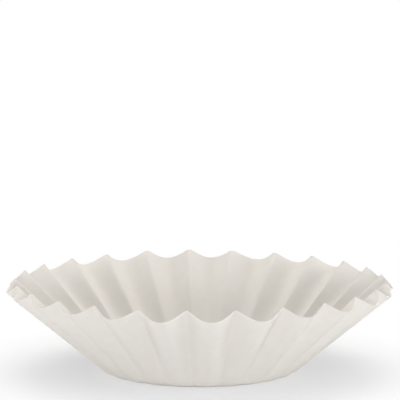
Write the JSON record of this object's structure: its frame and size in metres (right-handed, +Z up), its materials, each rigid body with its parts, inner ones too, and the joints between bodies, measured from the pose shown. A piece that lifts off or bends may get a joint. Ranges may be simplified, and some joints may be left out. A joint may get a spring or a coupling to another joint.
{
  "type": "paper coffee filter",
  "caption": "Basket coffee filter: one round sheet of thin paper pressed into a flat floor and a fluted, flaring wall, open at the top.",
  "frame": {"origin": "centre of the flat floor's underside, on the surface that the filter stands on", "axes": "+Z up out of the open mouth, +X towards the crest of one flute"},
  "size_m": [0.176, 0.1764, 0.0418],
  "materials": {
    "filter_paper": "matt white filter paper, lightly creped"
  },
  "bodies": {
    "root": {"paper_filter": "filter_paper"}
  },
  "joints": []
}
